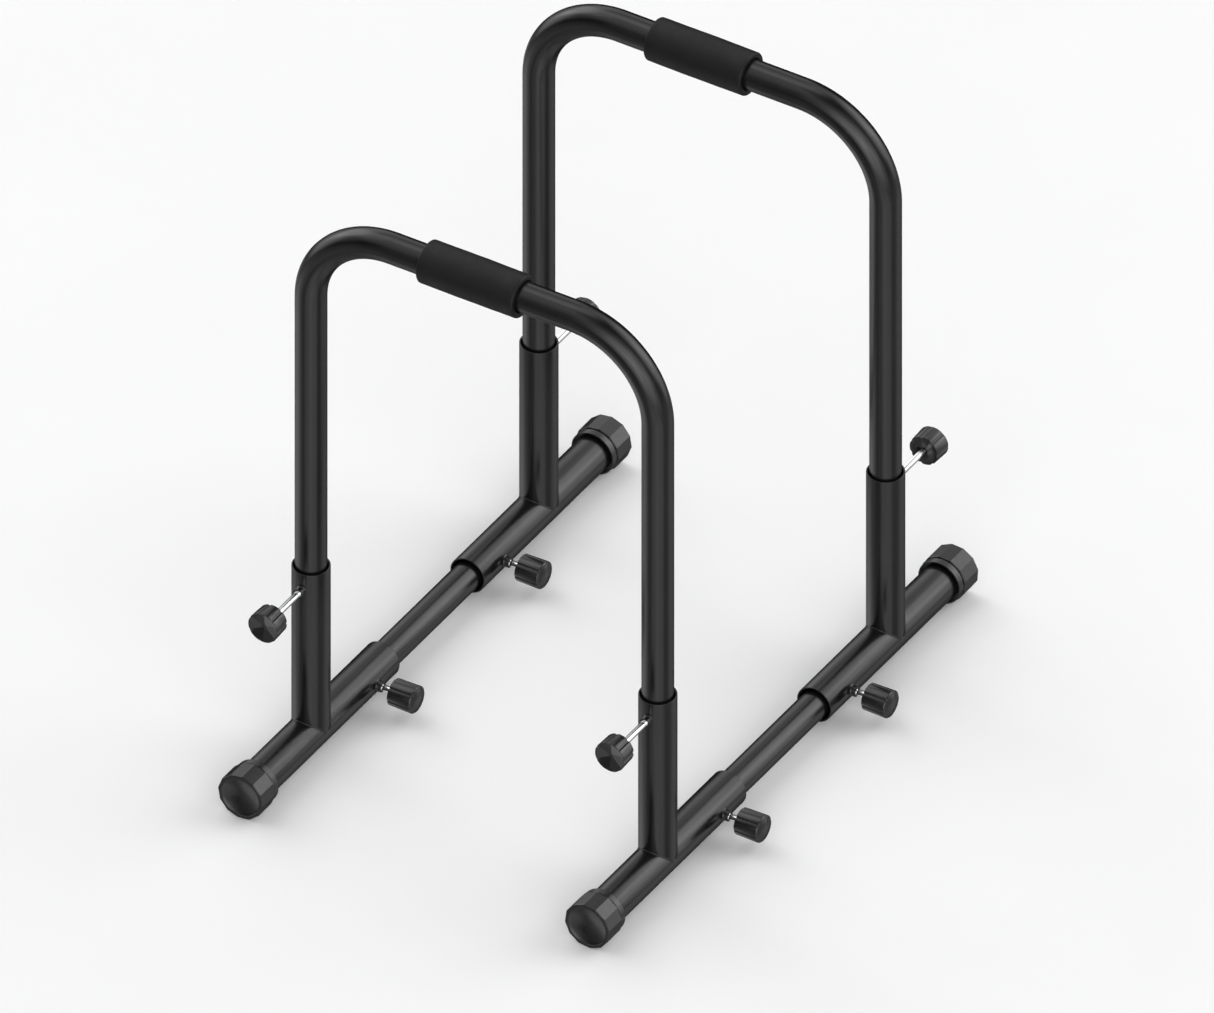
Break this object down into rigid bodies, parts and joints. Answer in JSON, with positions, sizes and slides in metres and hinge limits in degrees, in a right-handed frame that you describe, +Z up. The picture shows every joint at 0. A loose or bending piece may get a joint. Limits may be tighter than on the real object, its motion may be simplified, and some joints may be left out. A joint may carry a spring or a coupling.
{
  "type": "parallel bars",
  "caption": "Freestanding parallel bars for dips: two bent tube hoops with foam grips, telescoping in a base of floor rails, cross tubes and hand screws.",
  "frame": {"origin": "on the floor, in the middle of the bounding box's footprint", "axes": "+X along the bars, towards the side that the rail knobs point to; +Y from the front hoop to the back hoop, along the rails; +Z up"},
  "size_m": [0.5788, 0.812, 0.7943],
  "materials": {
    "powder_coat": "satin black powder coat on welded steel tube",
    "foam": "matte closed-cell foam with a smooth skin",
    "cap_plastic": "moulded plastic with a fine satin texture",
    "knob_plastic": "satin-gloss moulded plastic",
    "glide_plastic": "plain moulded plastic, inside the tubes",
    "screw_steel": "bright zinc-plated steel"
  },
  "bodies": {
    "front_base": {"front_left_rail_tube": "powder_coat", "front_left_upright_sleeve": "powder_coat", "front_left_end_cap": "cap_plastic", "front_left_leg_nut": "powder_coat", "front_left_rail_nut": "powder_coat", "front_right_rail_tube": "powder_coat", "front_right_upright_sleeve": "powder_coat", "front_right_end_cap": "cap_plastic", "front_right_leg_nut": "powder_coat", "front_right_rail_nut": "powder_coat"},
    "back_base": {"back_left_rail_tube": "powder_coat", "back_left_upright_sleeve": "powder_coat", "back_left_end_cap": "cap_plastic", "back_left_leg_nut": "powder_coat", "back_left_rail_nut": "powder_coat", "back_right_rail_tube": "powder_coat", "back_right_upright_sleeve": "powder_coat", "back_right_end_cap": "cap_plastic", "back_right_leg_nut": "powder_coat", "back_right_rail_nut": "powder_coat"},
    "front_hoop": {"front_hoop": "powder_coat", "front_grip": "foam", "front_left_leg_glide": "glide_plastic", "front_right_leg_glide": "glide_plastic"},
    "back_hoop": {"back_hoop": "powder_coat", "back_grip": "foam", "back_left_leg_glide": "glide_plastic", "back_right_leg_glide": "glide_plastic"},
    "left_cross_tube": {"left_cross_tube": "powder_coat", "left_cross_tube_front_glide": "glide_plastic", "left_cross_tube_back_glide": "glide_plastic"},
    "right_cross_tube": {"right_cross_tube": "powder_coat", "right_cross_tube_front_glide": "glide_plastic", "right_cross_tube_back_glide": "glide_plastic"},
    "front_left_leg_screw": {"front_left_leg_screw": "screw_steel"},
    "front_left_leg_knob": {"front_left_leg_knob": "knob_plastic"},
    "front_left_rail_screw": {"front_left_rail_screw": "screw_steel"},
    "front_left_rail_knob": {"front_left_rail_knob": "knob_plastic"},
    "front_right_leg_screw": {"front_right_leg_screw": "screw_steel"},
    "front_right_leg_knob": {"front_right_leg_knob": "knob_plastic"},
    "front_right_rail_screw": {"front_right_rail_screw": "screw_steel"},
    "front_right_rail_knob": {"front_right_rail_knob": "knob_plastic"},
    "back_left_leg_screw": {"back_left_leg_screw": "screw_steel"},
    "back_left_leg_knob": {"back_left_leg_knob": "knob_plastic"},
    "back_left_rail_screw": {"back_left_rail_screw": "screw_steel"},
    "back_left_rail_knob": {"back_left_rail_knob": "knob_plastic"},
    "back_right_leg_screw": {"back_right_leg_screw": "screw_steel"},
    "back_right_leg_knob": {"back_right_leg_knob": "knob_plastic"},
    "back_right_rail_screw": {"back_right_rail_screw": "screw_steel"},
    "back_right_rail_knob": {"back_right_rail_knob": "knob_plastic"}
  },
  "joints": [
    {"name": "front_hoop_height", "type": "slide", "parent": "front_base", "child": "front_hoop", "axis": [0, 0, 1], "range_m": [0, 0.12]},
    {"name": "back_hoop_height", "type": "slide", "parent": "back_base", "child": "back_hoop", "axis": [0, 0, 1], "range_m": [0, 0.12]},
    {"name": "left_cross_tube_in_front_rail", "type": "slide", "parent": "front_base", "child": "left_cross_tube", "axis": [0, 1, 0], "range_m": [-0.09, 0.09]},
    {"name": "right_cross_tube_in_front_rail", "type": "slide", "parent": "front_base", "child": "right_cross_tube", "axis": [0, 1, 0], "range_m": [-0.09, 0.09]},
    {"name": "back_base_on_cross_tubes", "type": "slide", "parent": "left_cross_tube", "child": "back_base", "axis": [0, 1, 0], "range_m": [-0.09, 0.09]},
    {"name": "front_left_leg_screw_feed", "type": "slide", "parent": "front_base", "child": "front_left_leg_screw", "axis": [0, 1, 0], "range_m": [-0.006, 0.0375]},
    {"name": "front_left_leg_knob_turn", "type": "hinge", "parent": "front_left_leg_screw", "child": "front_left_leg_knob", "pos_m": [-0.26012, -0.25, 0.24177], "axis": [0, 1, 0], "range_deg": [-1720, 10790]},
    {"name": "front_left_rail_screw_feed", "type": "slide", "parent": "front_base", "child": "front_left_rail_screw", "axis": [-1, 0, 0], "range_m": [-0.006, 0]},
    {"name": "front_left_rail_knob_turn", "type": "hinge", "parent": "front_left_rail_screw", "child": "front_left_rail_knob", "pos_m": [-0.26012, -0.14, 0.02927], "axis": [-1, 0, 0], "range_deg": [-1720, 0]},
    {"name": "front_right_leg_screw_feed", "type": "slide", "parent": "front_base", "child": "front_right_leg_screw", "axis": [0, 1, 0], "range_m": [-0.006, 0.0375]},
    {"name": "front_right_leg_knob_turn", "type": "hinge", "parent": "front_right_leg_screw", "child": "front_right_leg_knob", "pos_m": [0.20988, -0.25, 0.24177], "axis": [0, 1, 0], "range_deg": [-1720, 10790]},
    {"name": "front_right_rail_screw_feed", "type": "slide", "parent": "front_base", "child": "front_right_rail_screw", "axis": [-1, 0, 0], "range_m": [-0.006, 0]},
    {"name": "front_right_rail_knob_turn", "type": "hinge", "parent": "front_right_rail_screw", "child": "front_right_rail_knob", "pos_m": [0.20988, -0.14, 0.02927], "axis": [-1, 0, 0], "range_deg": [-1720, 0]},
    {"name": "back_left_leg_screw_feed", "type": "slide", "parent": "back_base", "child": "back_left_leg_screw", "axis": [0, -1, 0], "range_m": [-0.006, 0.0375]},
    {"name": "back_left_leg_knob_turn", "type": "hinge", "parent": "back_left_leg_screw", "child": "back_left_leg_knob", "pos_m": [-0.26012, 0.25, 0.24177], "axis": [0, -1, 0], "range_deg": [-1720, 10790]},
    {"name": "back_left_rail_screw_feed", "type": "slide", "parent": "back_base", "child": "back_left_rail_screw", "axis": [-1, 0, 0], "range_m": [-0.006, 0]},
    {"name": "back_left_rail_knob_turn", "type": "hinge", "parent": "back_left_rail_screw", "child": "back_left_rail_knob", "pos_m": [-0.26012, 0.14, 0.02927], "axis": [-1, 0, 0], "range_deg": [-1720, 0]},
    {"name": "back_right_leg_screw_feed", "type": "slide", "parent": "back_base", "child": "back_right_leg_screw", "axis": [0, -1, 0], "range_m": [-0.006, 0.0375]},
    {"name": "back_right_leg_knob_turn", "type": "hinge", "parent": "back_right_leg_screw", "child": "back_right_leg_knob", "pos_m": [0.20988, 0.25, 0.24177], "axis": [0, -1, 0], "range_deg": [-1720, 10790]},
    {"name": "back_right_rail_screw_feed", "type": "slide", "parent": "back_base", "child": "back_right_rail_screw", "axis": [-1, 0, 0], "range_m": [-0.006, 0]},
    {"name": "back_right_rail_knob_turn", "type": "hinge", "parent": "back_right_rail_screw", "child": "back_right_rail_knob", "pos_m": [0.20988, 0.14, 0.02927], "axis": [-1, 0, 0], "range_deg": [-1720, 0]}
  ],
  "couplings": [
    {"joint": "right_cross_tube_in_front_rail", "follows": "left_cross_tube_in_front_rail", "ratio": 1},
    {"joint": "front_left_leg_screw_feed", "follows": "front_left_leg_knob_turn", "m_per_rad": 0.00019894},
    {"joint": "front_left_rail_screw_feed", "follows": "front_left_rail_knob_turn", "m_per_rad": 0.00019894},
    {"joint": "front_right_leg_screw_feed", "follows": "front_right_leg_knob_turn", "m_per_rad": 0.00019894},
    {"joint": "front_right_rail_screw_feed", "follows": "front_right_rail_knob_turn", "m_per_rad": 0.00019894},
    {"joint": "back_left_leg_screw_feed", "follows": "back_left_leg_knob_turn", "m_per_rad": 0.00019894},
    {"joint": "back_left_rail_screw_feed", "follows": "back_left_rail_knob_turn", "m_per_rad": 0.00019894},
    {"joint": "back_right_leg_screw_feed", "follows": "back_right_leg_knob_turn", "m_per_rad": 0.00019894},
    {"joint": "back_right_rail_screw_feed", "follows": "back_right_rail_knob_turn", "m_per_rad": 0.00019894}
  ]
}
